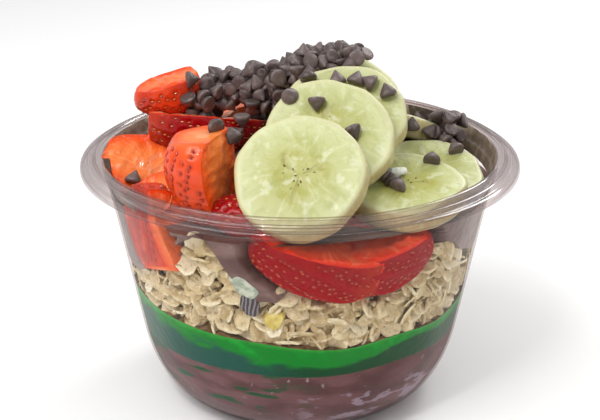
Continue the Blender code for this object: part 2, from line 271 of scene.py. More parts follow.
def sheet_line():
    """The middle of the sheet from the floor's centre to the skirt's edge, as (r, z)."""
    half = SHEET / 2
    t = np.linspace(0, 1, 12)[1:, None]
    slope = np.array([WALL_TOP_R - WALL_LOW_R, LEDGE_Z - WALL_LOW_Z])
    slope *= BELLY_HANDLE / np.hypot(*slope)
    foot_end, wall_start = np.array([FOOT_R, half]), np.array([WALL_LOW_R + half, WALL_LOW_Z])
    handles = foot_end + (BELLY_HANDLE, 0.0), wall_start - slope
    belly = (1 - t) ** 3 * foot_end + 3 * t * (1 - t) ** 2 * handles[0]
    belly = belly + 3 * t * t * (1 - t) * handles[1] + t**3 * wall_start
    floor = [(0.0, RECESS + half), (FOOT_R - FOOT_WIDTH - 1.8, RECESS + half), (FOOT_R - FOOT_WIDTH, half)]
    mouth = [
        (WALL_TOP_R + half, LEDGE_Z - half),
        (BEAD_R - 1.0, LEDGE_Z),
        (BEAD_R - 0.8, TUB_HIGH - 1.3),
        (BEAD_R, TUB_HIGH - half),
        (BEAD_R + 0.9, TUB_HIGH - half),
        (BEAD_R + 1.5, TUB_HIGH - 2.2),
        (BEAD_R + 2.2, TUB_HIGH - 2.3),
        (BEAD_R + 2.7, TUB_HIGH - 1.6),
        (BEAD_R + 3.3, TUB_HIGH - 1.6),
        (BEAD_R + 3.8, RIM_Z - half),
        (RIM_R - 1.2, RIM_Z - half),
        (RIM_R - half, RIM_Z - 1.1),
        (RIM_R - half, RIM_Z - SKIRT),
    ]
    return rounded(np.array([*floor, foot_end, *belly, *mouth]))


def beside(line, away):
    """An open line moved to its left, which is the tub's inside."""
    along = np.gradient(line, axis=0)
    along /= np.hypot(*along.T)[:, None]
    return line + np.stack([-along[:, 1], along[:, 0]], 1) * away


def lathe(line, around=AROUND, oval=1.0):
    """Rings of points round Z, one for each (r, z) of a line."""
    turns = np.linspace(0, 2 * math.pi, around, endpoint=False)
    line = np.array(line)
    r, z = line[:, :1], line[:, 1:] + 0 * turns
    return np.stack([r * np.cos(turns), r * np.sin(turns) * oval, z], -1)


plastic, place = start_finish("clear plastic")
scuffs = place.cloud(6.0, 4.0).band(0.55, 0.8) * 0.03 + 0.003
flange = place.axis("Z").band(LEDGE_Z - 1.0, LEDGE_Z + 0.5)
back = place.node("NewGeometry", output="Backfacing")
gleam = place.worked("MINIMUM", place.node("Fresnel", None, {"IOR": 1.2}), 0.09)
gleam = gleam * (1 - back) * (flange * 3.0 + 1.0)
slant = place.node("LayerWeight", None, {"Blend": 0.5}, "Facing")
slant = slant.band(0.1, 0.85) * flange + slant.band(0.7, 1.0) * (1 - flange) * 0.6
through = place.node("BsdfTransparent", None, {"Color": rgb(249, 246, 244)})
smoky = place.node("BsdfTransparent", None, {"Color": rgb(198, 186, 185)})
shine = place.node("BsdfGlossy", None, {"Color": (1, 1, 1, 1), "Roughness": 0.07})
haze = place.node("BsdfDiffuse", None, {"Color": rgb(214, 208, 205)})
clear = place.node("MixShader", None, {0: slant, 1: through, 2: smoky})
clear = place.node("MixShader", None, {0: gleam, 1: clear, 2: shine})
clear = place.node("MixShader", None, {0: scuffs, 1: clear, 2: haze})
place.node("OutputMaterial", None, {"Surface": clear})

middle = sheet_line()
outside, inside = beside(middle, -SHEET / 2), beside(middle, SHEET / 2)
outside[0, 0] = inside[0, 0] = 0.4
add_piece("tub", wrap(lathe(np.concatenate([outside, inside[::-1]]))), [plastic], ["bowl"])

# ---- The acai blend at the bottom ----
# Frozen acai and banana, blended smooth and poured in, so that it fills the floor and clings to the wall.
# Mauve brown, with frost where it touches the cold wall and smears of the green blend dragged down into it.

INTO_WALL = 0.25  # how far the filling reaches into the sheet, so that no air shows between them
LAYER_STEPS = 14
ACAI_TOP_Z = 25.6
FILL_R = 56  # about the filling's radius at the granola
START_R = 52.0  # where the search for the wall starts
FROST_FADES = 15.0, 22.0  # heights between which the frost on the wall thins out

wall_part = inside[(inside[:, 0] > FOOT_R - FOOT_WIDTH) & (inside[:, 1] < LEDGE_Z - 0.5)]


def wall_radius(height):
    """The inside radius of the tub's wall at a height."""
    return np.interp(height, wall_part[:, 1], wall_part[:, 0])


def acai_surface(x, y):
    """Where the acai blend meets the green blend: a little uneven, and higher to the right."""
    return ACAI_TOP_Z + 0.02 * x + 1.3 * noise.noise(Vector((x, y, 3.0)) / 34)


def surface_rings(surface, turns, share):
    """Rings of points on a surface between the filling's middle and the wall, the last one against it."""
    rings = np.zeros((len(share), len(turns), 3))
    for i, turn in enumerate(turns):
        out = np.array([math.cos(turn), math.sin(turn)])
        reach = START_R
        for _ in range(4):
            reach = float(wall_radius(surface(*(out * reach)))) + INTO_WALL
        for k, part in enumerate(share):
            x, y = out * reach * part
            rings[k, i] = x, y, surface(x, y)
    return rings


def fill_between(lower, upper, rows, around=AROUND):
    """A layer of the filling: its lower surface, rows up the wall, and its upper surface."""
    turns = np.linspace(0, 2 * math.pi, around, endpoint=False)
    share = np.linspace(1 / LAYER_STEPS, 1, LAYER_STEPS)
    low, high = surface_rings(lower, turns, share), surface_rings(upper, turns, share)
    rise = np.linspace(0, 1, rows + 1)[1:-1, None]
    heights = low[-1, :, 2] + (high[-1, :, 2] - low[-1, :, 2]) * rise
    reach = wall_radius(heights) + INTO_WALL
    wall = np.stack([reach * np.cos(turns), reach * np.sin(turns), heights], -1)
    level = [np.zeros(low.shape[:2]), np.broadcast_to(rise, heights.shape), np.ones(high.shape[:2])]
    return np.concatenate([low, wall, high[::-1]]), np.concatenate(level)


def base_rings():
    """The bottom layer: up the tub's own floor and belly, then across its top."""
    turns = np.linspace(0, 2 * math.pi, AROUND, endpoint=False)
    share = np.linspace(1 / LAYER_STEPS, 1, LAYER_STEPS)
    high = surface_rings(acai_surface, turns, share)
    line = beside(middle, SHEET / 2 - INTO_WALL)
    line = line[(line[:, 1] < ACAI_TOP_Z - 2.5) & (line[:, 0] > 1)]
    return np.concatenate([lathe(line), high[::-1]])


acai, place = start_finish("acai blend")
side, height = place.axis("X"), place.axis("Z")
streaks = (place * (1.0, 1.0, 2.6)).cloud(13.0, 3.0)
colour = streaks.band(0.35, 0.68).mix(rgb(92, 62, 64), rgb(122, 86, 90))
colour = side.band(-30.0, 35.0).mix(colour, streaks.band(0.3, 0.7).mix(rgb(82, 49, 50), rgb(110, 72, 74)))
frost = (place * (1.0, 1.0, 2.2)).cloud(10.0, 5.0, 31.0, 0.62).band(0.53, 0.58)
frost = frost * 0.75 * side.band(-6.0, 8.0) * (1 - height.band(*FROST_FADES))
colour = frost.mix(colour, rgb(160, 144, 160))
scuff = place.cloud(2.6, 6.0, 5.0, 0.7).band(0.62, 0.68)
colour = (scuff * 0.5).mix(colour, rgb(205, 192, 196))
smear = (place * (0.6, 0.6, 2.6)).cloud(9.0, 4.0, 74.0).band(0.56, 0.6) * height.band(8.0, 13.0)
colour = (smear * side.band(10.0, -15.0)).mix(colour, rgb(22, 82, 48))
end_finish(place, colour, 0.45, place.cloud(1.6, 5.0), 0.25, {"Specular IOR Level": 0.08})
add_piece("acai_base_fill", wrap(base_rings()), [acai], ["acai_base"])

# ---- The green blend ----
# Banana blended with spirulina and spread over the acai: bright emerald above, deep green and teal where it
# is thin and mixes with what lies under it.

GREEN_TOP_Z = 36.0
SIDE_RISE = 4.0


def side_rise(x, y):
    """How much higher the green blend and the granola stand at the left and right of the wall."""
    out = math.hypot(x, y)
    return SIDE_RISE * (abs(x) / out) ** 3 * min(1.0, out / FILL_R) if out > 0.1 else 0.0


def green_surface(x, y):
    """Where the green blend meets the granola."""
    return GREEN_TOP_Z + side_rise(x, y) - 0.035 * x + 1.6 * noise.noise(Vector((x, y, 9.0)) / 24)


green, place = start_finish("green blend")
level, side = place.mark("level"), place.axis("X")
swirl = (place * (0.6, 0.6, 1.6)).cloud(9.0, 3.0)
brighter = side.band(-30.0, -4.0) * side.band(36.0, 10.0) * 0.3
drawn = level + (swirl - 0.5) * 1.1 + brighter - 0.2
deep = side.band(-22.0, 8.0).mix(rgb(24, 84, 72), rgb(6, 70, 34))
colour = drawn.band(0.36, 0.56).mix(deep, rgb(0, 132, 34))
clots = place.cloud(5.0, 3.0, 12.0).band(0.5, 0.62) * drawn.band(0.5, 0.8)
colour = clots.mix(colour, rgb(2, 158, 44))
# Painted highlight: a lighter green line along the top of the blend, where light catches its upper edge.
edge = (level + (place.cloud(3.0) - 0.5) * 0.2).band(0.88, 0.95) * 0.7
colour = edge.mix(colour, rgb(48, 160, 54))
colour = (place.cloud(1.3, 4.0, 3.0).band(0.62, 0.7) * 0.35).mix(colour, rgb(8, 62, 32))
end_finish(place, colour, 0.35, place.cloud(1.8, 4.0), 0.3, {"Specular IOR Level": 0.08})
rings, level = fill_between(acai_surface, green_surface, 18)
add_piece("green_fill", wrap(rings, level=level), [green], ["green_layer"])

# ---- The strawberries ----
# Fresh berries with the stem end sliced off, then halved or quartered. The skin is set with seeds, each in
# its own dimple; the cut flesh is palest at the core, with veins running out to the skin.

STEM_CUT = 0.84
BERRY_ROWS = 76
BERRY_ARC = 96
BERRY_CHORD = 48
SEED_SPACING = 2.9
THROAT = WALL_TOP_R - 0.35  # how far fruit may reach beside the bead
WALL_PRESS = 0.3  # how far the fruit pressed to the wall reaches into the sheet
DIMPLE_AT_WALL = 0.6
TUCKED_IN = 1.6  # how far behind its neighbour the stem end of strawberry_7 is tucked
TUCK_X = 23.0  # and where that starts
SWELL_SIZE, SWELL = 9.0, 0.9  # how far apart the swellings of a berry's skin lie, and how high they are
SEED_R, SEED_HALF = 0.3, 0.48

# name: from the middle of its solid's box to its own middle, where the tip and the cut face point, share of
# the radius kept, length, radius, ripeness
BERRIES = {
    "strawberry_1": ((-0.2, -0.8, -0.1), (200, -15), (20, 68), 0.42, 23.5, 8.6, 0.35),
    "strawberry_2": ((0.7, -2.0, 1.4), (165, 18), (-75, 47), -0.25, 34.0, 13.0, 0.15),
    "strawberry_3": ((1.6, -0.1, 0.9), (0, -85), (-22, 5), 0.35, 29.5, 12.3, 0.05),
    "strawberry_4": ((-1.0, 0.5, 2.9), (6, -6), (90, 75), 0.1, 40.0, 12.0, 0.95),
    "strawberry_5": ((4.4, -2.6, 1.4), (192, 12), (-90, 68), 0.38, 42.0, 13.6, 1.0),
    "strawberry_6": ((-4.0, -4.4, 0.2), (110, 74), (-64, 12), 0.4, 29.0, 15.5, 0.5),
    "strawberry_7": ((-3.0, -1.2, 1.1), (12, 4), (-75, 66), 0.45, 34.0, 13.0, 1.0),
    "strawberry_8": ((0.4, 0.5, -1.5), (180, 5), (90, -60), 0.0, 18.0, 7.0, 1.0),
    "strawberry_9": ((-0.3, -1.6, -1.8), (150, -10), (-60, 35), 0.2, 18.0, 7.5, 0.1),
    "strawberry_10": ((-1.9, 0.6, 2.3), (120, -20), (150, 50), 0.0, 32.0, 13.0, 0.7),
}
AT_THE_WALL = ("strawberry_5", "strawberry_6", "strawberry_7")


def compass(azimuth, elevation):
    """The direction at an angle round Z from +X and a height above level, in degrees."""
    turn, rise = math.radians(azimuth), math.radians(elevation)
    return Vector((math.cos(turn) * math.cos(rise), math.sin(turn) * math.cos(rise), math.sin(rise)))


def facing(direction, across):
    """The turn that points a piece's +Z along a direction and its +X as near another as it goes."""
    up = direction.normalized()
    side = up.cross(across).normalized()
    return Matrix((side.cross(up), side, up)).transposed()


def set_at(centre, turn):
    """The matrix that turns a piece and puts its middle at a place in millimetres."""
    return Matrix.Translation(Vector(centre) * MM) @ turn.to_4x4()


def middle_of(node):
    """The middle of the box of a solid, in millimetres."""
    low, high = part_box(node)
    return np.array((low + high) / 2) / MM


def pressed(points, turn, place, reach_in=WALL_PRESS):
    """Points of a turned and placed piece, with what would pass through the wall laid flat against it.

    How far they reach into the sheet may be given for each point, so that dimples stay dimples.
    """
    turn = np.array(turn)
    world = points @ turn.T + place
    reach = np.hypot(world[:, 0], world[:, 1])
    room = wall_radius(world[:, 2]) + reach_in
    room = np.where(world[:, 2] > LEDGE_Z - 1.2, THROAT, room)
    room = np.where(world[:, 2] > TUB_HIGH + 0.3, 1e6, room)
    world[:, :2] *= np.minimum(1.0, room / np.maximum(reach, 1.0))[:, None]
    return (world - place) @ turn


def held_by_wall(points, turn, place):
    """1 at each point of a turned and placed piece that lies against the wall."""
    world = points @ np.array(turn).T + place
    reach = np.hypot(world[:, 0], world[:, 1])
    return ((reach > wall_radius(world[:, 2]) - 0.9) & (world[:, 2] < LEDGE_Z)).astype(float)


def lumps(points, size, shift):
    """Smooth noise at each point, from about -0.5 to 0.5, with lumps of a size in millimetres."""
    shift = Vector((shift, -shift, shift * 0.5))
    return np.array([noise.noise(Vector(point) / size + shift) for point in points])


def berry_radius(share, wide):
    """A strawberry's radius at a share of its length from the stem: full shoulders and a blunt tip."""
    angle = math.pi * share
    return wide * np.sin(angle) ** 0.82 * (1 + 0.24 * np.cos(angle)) / 1.04


def berry_seeds(cut, long, wide):
    """Where the seeds sit on the skin, in spirals, with the direction out of the skin at each."""
    count = int(2.6 * math.pi * wide * long * 0.8 / SEED_SPACING**2)
    order = np.arange(count) + 0.5
    height = 1 - 2 * order / count
    share = np.arccos(height) / math.pi
    share = share * 0.93 + 0.03 + 0.007 * np.sin(order * 7.1)
    turn = order * math.pi * (3 - math.sqrt(5)) + 0.1 * np.sin(order * 3.7)
    radius = berry_radius(share, wide)
    spots = np.stack([radius * np.cos(turn), radius * np.sin(turn), long / 2 * np.cos(math.pi * share)], 1)
    step = 0.01
    slope = (berry_radius(share + step, wide) - berry_radius(share - step, wide)) / (2 * step)
    fall = math.pi * long / 2 * np.sin(math.pi * share)
    out = np.stack([np.cos(turn) * fall, np.sin(turn) * fall, slope], 1)
    out /= np.linalg.norm(out, axis=1)[:, None]
    kept = (spots[:, 0] < cut - 0.9) & (spots[:, 2] < STEM_CUT * long / 2 - 1.0)
    return spots[kept], out[kept]


def berry_shape(kept, long, wide, number):
    """A cut berry, its tip towards -Z and its cut face towards +X, and its seeds."""
    cut = kept * wide
    share = np.linspace(0.985, math.acos(STEM_CUT) / math.pi, BERRY_ROWS)
    if cut < 0:
        share = share[berry_radius(share, wide) > 0.4 - cut]
    radius = berry_radius(share, wide)
    height = long / 2 * np.cos(math.pi * share)
    stem = np.linspace(1, 0.12, 8)[1:]
    skin = np.append(radius, np.full(len(stem), radius[-1]))
    radius = np.append(radius, radius[-1] * stem)
    height = np.append(height, np.full(len(stem), height[-1]))
    corner = np.arccos(np.clip(cut / radius, -0.985, math.cos(0.14)))[:, None]
    chord = np.linspace(-1, 1, BERRY_CHORD, endpoint=False) * corner
    arc = corner + np.linspace(0, 1, BERRY_ARC, endpoint=False) * (2 * math.pi - 2 * corner)
    turns = np.concatenate([chord, arc], 1)
    x, y = radius[:, None] * np.cos(turns), radius[:, None] * np.sin(turns)
    flat = x > cut
    x = np.minimum(x, cut)
    depth = 1 - np.hypot(x, y) / skin[:, None]
    rings = np.stack([x, y, height[:, None] + 0 * x], -1)
    points = rings.reshape(-1, 3)
    seeds, out = berry_seeds(cut, long, wide)
    away = np.sqrt(((points[:, None] - seeds[None]) ** 2).sum(-1))
    near = away.min(1)
    dent = np.exp(-((near / 0.95) ** 2)) * (depth.ravel() < 0.01)
    outward = points / np.maximum(np.linalg.norm(points, axis=1), 1)[:, None]
    swell = lumps(points, SWELL_SIZE, number * 3.1) * SWELL * (depth.ravel() < 0.2)
    points = points + outward * (swell - 0.5 * dent)[:, None]
    ridges = lumps(points * (1.0, 0.8, 1.6), 3.4, number + 40.0) * 0.7
    ridges += lumps(points, SWELL_SIZE, number) * SWELL
    points[:, 0] += np.where(flat.ravel(), ridges * np.minimum(depth.ravel() * 6, 1), 0)
    body = wrap(points.reshape(rings.shape), depth=depth, dent=dent.reshape(depth.shape))
    profile = ((0.5, -SEED_HALF), (1.0, -0.18), (0.85, 0.22), (0.35, SEED_HALF))
    grain = wrap(lathe([(r * SEED_R, z) for r, z in profile], 6))
    grains = []
    swell = lumps(seeds, SWELL_SIZE, number * 3.1) * SWELL
    spots = seeds + seeds / np.linalg.norm(seeds, axis=1)[:, None] * (swell - 0.34)[:, None]
    for spot, normal in zip(spots, out):
        along = facing(Vector((0, 0, 1)) - Vector(normal) * normal[2], Vector(normal))
        grains.append(Shape(grain.points @ np.array(along).T + spot, grain.quads, grain.tris, 1))
    return joined([body, *grains])


berry, place = start_finish("strawberry flesh and skin")
ripe, depth, dent, held = map(place.mark, ("ripe", "depth", "dent", "held"))
blotch = place.cloud(7.0, 3.0)
tone = ripe + (blotch - 0.5) * 0.9
skin = tone.band(0.0, 0.95).mix(rgb(232, 76, 28), rgb(160, 6, 16))
shoulder = (place.axis("Z") * 0.06 + (blotch - 0.5) * 0.8).band(0.45, 1.1) * (1 - ripe * 0.85)
skin = shoulder.mix(skin, rgb(236, 112, 50))
# Painted shade: the skin is darkened in each seed's dimple.
skin = (dent * 0.6).mix(skin, rgb(140, 14, 8))
veins = (place.outward((0.0, 1.0, 1.0)) * 9.0 + depth * 1.2).cloud(1.0, 3.0)
near_skin = ripe.mix(rgb(238, 84, 10), rgb(226, 44, 14))
near_core = ripe.mix(rgb(240, 128, 58), rgb(238, 98, 64))
flesh = (depth + (blotch - 0.5) * 0.3).band(0.05, 0.62).mix(near_skin, near_core)
flesh = (veins.band(0.5, 0.72) * 0.3 * depth.band(0.05, 0.3)).mix(flesh, rgb(248, 178, 122))
core = (depth + (veins - 0.5) * 0.25).band(0.66, 0.86)
flesh = (core * 0.35).mix(flesh, rgb(248, 196, 146))
cut_face = depth.band(0.02, 0.055)
wet = {
    "Specular IOR Level": 0.1,
    "Coat Weight": (1 - held) * 0.45 + 0.05,
    "Coat Roughness": 0.08,
    "Subsurface Weight": 0.08,
    "Subsurface Radius": (1.0, 0.35, 0.2),
    "Subsurface Scale": 0.0025,
}
bumps = place.cloud(1.1, 3.0, 9.0) + veins * cut_face * 0.8
end_finish(place, cut_face.mix(skin, flesh), cut_face * 0.14 + 0.24, bumps, 0.3, wet)
seed, place = start_finish("strawberry seed")
colour = place.mark("ripe").band(0.0, 0.4).mix(rgb(196, 50, 18), rgb(214, 128, 52))
colour = place.cloud(2.5, 2.0).band(0.35, 0.65).mix(colour, rgb(146, 28, 14))
colour = (place.mark("held") * 0.75).mix(colour, rgb(206, 66, 54))
end_finish(place, colour, 0.25, place.cloud(0.4), 0.1, {"Coat Weight": 0.3})

fruit = {}
for number, (name, row) in enumerate(BERRIES.items()):
    offset, tip, face, kept, long, wide, ripeness = row
    shape = berry_shape(kept, long, wide, number)
    turn = facing(-compass(*tip), compass(*face))
    centre = middle_of(name) + offset
    press = WALL_PRESS + 0.02 * number - DIMPLE_AT_WALL * shape.marks["dent"]
    if name == "strawberry_7":  # its stem end lies behind strawberry_5
        across = (shape.points @ np.array(turn).T + centre)[:, 0]
        press = press - TUCKED_IN * np.clip((TUCK_X - across) / 4, 0, 1)
    shape.points = pressed(shape.points, turn, centre, press)
    shape.marks["ripe"] = np.full(len(shape.points), ripeness)
    shape.marks["held"] = held_by_wall(shape.points, turn, centre)
    where = set_at(centre, turn)
    fruit[name] = (shape, np.array(turn), centre)
    add_piece(name + "_cut", shape, [berry, seed], [name], 50.0, where)

# ---- The banana slices ----
# Ripe banana peeled and cut across: a round or softly three-sided slice with a pale rim, a yellower heart of
# three lobes, and tiny brown seeds in pairs along the lobes.

SLICE_THICK = 7.2
SLICE_EDGE = 1.4
SLICE_AROUND = 96
# how far out each seed of a lobe lies, as a share of the radius, and how far beside the lobe's middle
LOBE_SEEDS = (0.13, -0.36), (0.2, 0.3), (0.26, -0.15), (0.08, 0.6)

# name: from the middle of its solid's box to its own middle, where the face points, azimuth of the long way,
# width across, share of it the other way
SLICES = {
    "banana_1": ((-0.4, -0.2, 0.1), (-102, 41), 20, 38.0, 0.97),
    "banana_2": ((0.0, -0.3, 0.0), (-99, 43), -25, 38.0, 0.93),
    "banana_3": ((-0.5, 0.1, 0.1), (-96, 45), 10, 37.4, 0.95),
    "banana_4": ((0.1, 0.1, 0.1), (-94, 46), 40, 35.4, 0.96),
    "banana_5": ((-0.5, 0.1, 0.0), (-90, 77), 0, 35.2, 0.96),
    "banana_6": ((0.0, 0.0, 0.0), (-86, 77), 75, 35.5, 0.96),
    "banana_7": ((-0.2, 0.3, 0.0), (50, 64), 130, 34.0, 0.96),
    "banana_8": ((-0.4, 0.1, -0.1), (92, 50), 15, 36.0, 0.94),
}


def slice_shape(across, oval, number):
    """A slice about its own middle, its faces towards +Z and -Z, and its seeds."""
    turns = np.linspace(0, 2 * math.pi, SLICE_AROUND, endpoint=False)
    outline = across / 2 * (1 + 0.02 * np.cos(3 * turns) + 0.012 * np.cos(5 * turns + 1))
    half = SLICE_THICK / 2
    bend = np.linspace(0, math.pi / 2, 6)
    edge = [(SLICE_EDGE * (1 - math.sin(a)), SLICE_EDGE * (1 - math.cos(a))) for a in bend]
    face = np.linspace(0.04, 1, 26)[:-1]
    rings, rims, faces = [], [], []
    for upward in (-1, 1):
        turned = slice(None) if upward < 0 else slice(None, None, -1)
        flat = [((outline - SLICE_EDGE) * part, upward * half + 0 * turns, part) for part in face]
        bent = [(outline - inset, upward * (half - drop) + 0 * turns, 1.0) for inset, drop in edge]
        for reach, height, part in (flat + bent)[turned]:
            rings.append(np.stack([reach * np.cos(turns), reach * np.sin(turns) * oval, height], -1))
            rims.append(reach / outline)
            faces.append(np.full(len(turns), upward if part < 1 else 0))
    rings, rims, faces = np.array(rings), np.array(rims), np.array(faces)
    points = rings.reshape(-1, 3)
    flesh = np.abs(faces.ravel())
    heart = np.exp(-((rims.ravel() / 0.34) ** 2))
    spread = points * (1, 1, 0.2)
    waves = lumps(spread, 6.5, number * 5.3) * 0.55 + lumps(spread, 2.6, number) * 0.22
    points[:, 2] += np.sign(points[:, 2]) * (waves - 0.45 * heart) * flesh
    outward = points * (1, 1, 0) / np.maximum(np.hypot(points[:, 0], points[:, 1]), 1)[:, None]
    swell = lumps(points * (1, 1, 0.3), 7.0, number + 9.0) * 0.8
    points += outward * swell[:, None] * (rims.ravel() > 0.9)[:, None]
    body = wrap(points.reshape(rings.shape), rim=rims, side=1 - np.abs(faces).astype(float))
    speck = wrap(lathe(((0.4, -0.3), (0.62, 0.0), (0.35, 0.22)), 6, 0.6))
    specks = []
    for lobe in range(3):
        for pair, (reach, aside) in enumerate(LOBE_SEEDS):
            turn = 2 * math.pi * lobe / 3 + aside + 0.3 * math.sin(number * 2.1 + lobe * 1.7)
            reach = across / 2 * (reach + 0.04 * math.sin(number + 3.0 * lobe + 5.0 * pair))
            spot = np.array([reach * math.cos(turn), reach * math.sin(turn) * oval])
            top = points[(np.hypot(*(points[:, :2] - spot).T) < 1.2) & (points[:, 2] > 0), 2].mean()
            spin = np.array(Matrix.Rotation(turn, 3, "Z"))
            size = 0.45 + 0.4 * abs(math.sin(number * 1.3 + lobe + 2 * pair))
            for flip in (1, -1):
                moved = speck.points * size @ spin.T
                moved = moved * (1, flip, flip) + (*spot, flip * (top - 0.02))
                specks.append(Shape(moved, speck.quads, speck.tris, 1))
    return joined([body, *specks])


banana, place = start_finish("banana flesh")
rim, side = place.mark("rim"), place.mark("side")
wander = place.cloud(8.0, 3.0)
angle = place.worked("ARCTAN2", place.axis("Y"), place.axis("X")) + (wander - 0.5) * 1.1
lobes = place.worked("COSINE", angle * 3.0)
reach = rim + (wander - 0.5) * 0.16
heart = 1 - (reach - lobes * 0.07).band(0.36, 0.5)
fibres = (place.outward((1.0, 1.0, 0.0)) * 7.0 + rim * 1.5).cloud(1.0, 4.0)
seams = 1 - place.worked("ABSOLUTE", place.worked("SINE", angle * 1.5)).band(0.0, 0.22)
seams = seams * rim.band(0.03, 0.1) * (1 - rim.band(0.3, 0.5))
colour = (reach + (fibres - 0.5) * 0.2).band(0.45, 0.95).mix(rgb(174, 177, 105), rgb(188, 192, 134))
colour = (heart * 0.8).mix(colour, rgb(166, 165, 78))
# The pale streaks follow the flesh's own fibres, and their paleness is also painted highlight from the glare
# on the wet face.
colour = (fibres.band(0.52, 0.72) * rim.band(0.15, 0.4) * 0.4).mix(colour, rgb(212, 214, 174))
colour = (seams * 0.6).mix(colour, rgb(150, 142, 70))
# Painted highlight: soft pale patches stand for the glare on the wet cut face.
colour = (place.cloud(4.5, 4.0, 17.0).band(0.55, 0.66) * 0.45).mix(colour, rgb(216, 219, 188))
colour = (rim.band(0.86, 0.94) * 0.7).mix(colour, rgb(206, 205, 162))
threads = (place * (1.0, 1.0, 0.25)).cloud(1.6, 3.0).band(0.4, 0.7)
threads = threads.mix(rgb(192, 174, 120), rgb(210, 197, 148))
colour = (side * rim.band(0.97, 1.0) * 0.85).mix(colour, threads)
moist = {
    "Coat Weight": 0.12,
    "Coat Roughness": 0.25,
    "Subsurface Weight": 0.15,
    "Subsurface Radius": (1.0, 0.8, 0.35),
    "Subsurface Scale": 0.003,
}
bumps = fibres * 0.5 + place.cloud(1.2, 4.0) - seams * 0.8
end_finish(place, colour, 0.42 - seams * 0.1, bumps, 0.2, moist)
patches = (1.5, 2.0), (0.4, 0.6)
banana_seed = speckled("banana seed", *patches, (136, 120, 66), (96, 80, 42), 0.5, (0.4,), 0.1)

for number, (name, row) in enumerate(SLICES.items()):
    offset, face, spin, across, oval = row
    shape = slice_shape(across, oval, number)
    turn = facing(compass(*face), compass(spin, 0.0))
    centre = middle_of(name) + offset
    shape.points = pressed(shape.points, turn, centre, 0.0)
    where = set_at(centre, turn)
    fruit[name] = (shape, np.array(turn), centre)
    add_piece(name + "_slice", shape, [banana, banana_seed], [name], 60.0, where)


def as_tree(shape, turn=None, centre=0.0):
    """A shape that can be searched for what lies at a place or along a line, in the tub's frame."""
    points = shape.points if turn is None else shape.points @ turn.T + centre
    faces = [*shape.quads.tolist(), *shape.tris.tolist()]
    return BVHTree.FromPolygons(points.tolist(), faces)


fruit_trees = {name: as_tree(*made) for name, made in fruit.items()}

# ---- The granola ----
# Toasted rolled oats with a little honey, poured over the green blend, where it piled up the wall in places:
# loose flakes against the wall and on top, crumbs between them that are also coloured dark as painted shade
# in the gaps, and a few seeds and chips of other fruit.

GRANOLA_TOP_Z = 49.5
# The height of the granola's edge round the wall, at angles in degrees.
GRANOLA_EDGE = (
    (-180, 50.4), (-166, 48.7), (-152, 50.0), (-141, 52.5), (-133, 57.0), (-128, 63.0), (-124, 69.0),
    (-120, 71.5), (-116, 69.0), (-112, 62.0), (-108, 55.5), (-103, 52.0), (-97, 52.0), (-93, 56.0),
    (-89, 59.0), (-84, 57.5), (-78, 54.0), (-70, 52.0), (-62, 52.0), (-56, 55.0), (-52, 60.0),
    (-48, 64.5), (-42, 65.0), (-34, 60.0), (-25, 54.5), (0, 54.0), (35, 57.5), (75, 53.0),
    (110, 60.0), (150, 53.0), (180, 50.4),
)
FLAKES = 420
DEEPER_FLAKES = 620
FLAKE_SPACING = 4.0
CRUMBS = 1100
HEAP_DEPTH = 3.6  # how far the crumbs behind the flakes stay off the wall
WALL_FRUIT_DEPTH = 17.0  # how far behind the wall a cut face still shows
SKIN_DEPTH = 5.0  # and how far skin does, before the filling closes over it
BEFORE_WALL = 1.5  # how far outside the wall a look behind it starts
BAND_R = 55  # where the granola's height is read for what lies near the wall
MOST_HIGH = 32  # the height of granola at which no place for a flake is passed over
# half of an oat flake's section: the share of its radius and the height there
FLAKE_SECTION = (0.45, -0.32), (0.85, -0.42), (1.0, -0.2), (1.0, 0.2), (0.85, 0.42), (0.45, 0.32)


def granola_surface(x, y):
    """The granola's top: piled up the wall in four places, lower in the middle, and lumpy."""
    angle = math.degrees(math.atan2(y, x))
    out = min(1.0, math.hypot(x, y) / FILL_R)
    piles = np.interp(angle, *zip(*GRANOLA_EDGE)) - GRANOLA_TOP_Z
    lumpy = 1.6 * noise.noise(Vector((x, y, 20.0)) / 7)
    return GRANOLA_TOP_Z + piles * max(0.0, out - 0.45) / 0.55 + 2.5 * (out - 1) + lumpy


def fruit_behind(turn, height, deepest=WALL_FRUIT_DEPTH):
    """How far behind the wall the fruit lies at an angle and a height, or None."""
    out = Vector((math.cos(turn), math.sin(turn), 0.0))
    start = out * (float(wall_radius(height)) + BEFORE_WALL) + Vector((0, 0, height))
    hits = [fruit_trees[name].ray_cast(start, -out, deepest + BEFORE_WALL) for name in AT_THE_WALL]
    skin = SKIN_DEPTH + BEFORE_WALL
    hits = [away for _, normal, _, away in hits if away and (away < skin or normal.z > 0.5)]
    return min(hits) - BEFORE_WALL if hits else None


def random_turns(rng, count):
    """Random rotations as matrices."""
    q = rng.normal(size=(count, 4))
    w, x, y, z = (q / np.linalg.norm(q, axis=1)[:, None]).T
    rows = [
        [1 - 2 * (y * y + z * z), 2 * (x * y - z * w), 2 * (x * z + y * w)],
        [2 * (x * y + z * w), 1 - 2 * (x * x + z * z), 2 * (y * z - x * w)],
        [2 * (x * z - y * w), 2 * (y * z + x * w), 1 - 2 * (x * x + y * y)],
    ]
    return np.moveaxis(np.array(rows), 2, 0)


def copies(template, points, **marks):
    """A shape of many copies of one template, each with its own points."""
    starts = (np.arange(len(points)) * points.shape[1])[:, None, None]
    quads = (template.quads[None] + starts).reshape(-1, 4)
    tris = (template.tris[None] + starts).reshape(-1, 3)
    marks = {name: np.repeat(mark, points.shape[1]) for name, mark in marks.items()}
    return Shape(points.reshape(-1, 3), quads, tris, **marks)


